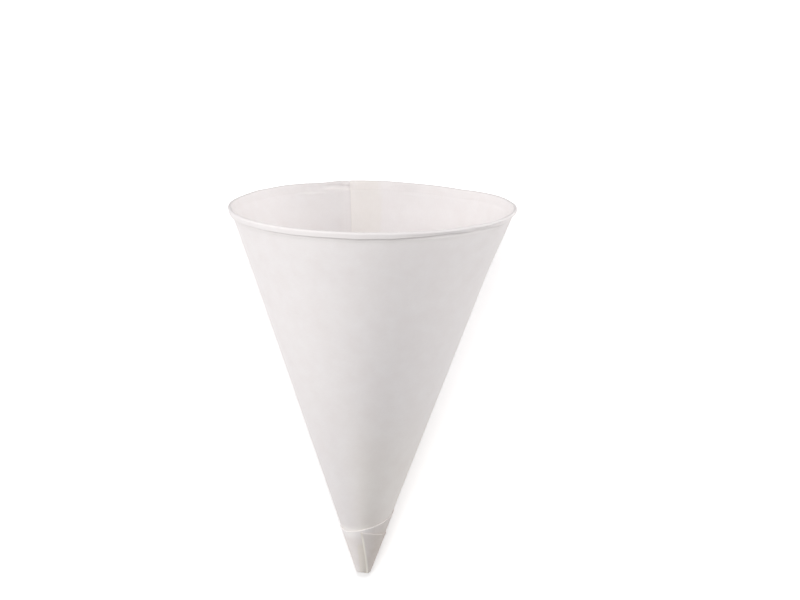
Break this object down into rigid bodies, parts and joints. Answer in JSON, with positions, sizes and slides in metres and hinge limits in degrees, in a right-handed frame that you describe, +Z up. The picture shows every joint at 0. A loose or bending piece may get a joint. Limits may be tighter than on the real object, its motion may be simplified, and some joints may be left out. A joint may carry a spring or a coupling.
{
  "type": "cone paper cup",
  "caption": "White paper cup wound into a pointed cone, with a rolled rim and a lapped side seam, lying on its side.",
  "frame": {"origin": "on the ground under the middle of the cup as it lies", "axes": "+Y along the ground from the point towards the mouth, +Z up, +X to the right of someone who looks along +Y"},
  "size_m": [0.073, 0.1024, 0.0685],
  "materials": {
    "paper": "matt, uncoated"
  },
  "bodies": {
    "root": {"cup": "paper"}
  },
  "joints": []
}
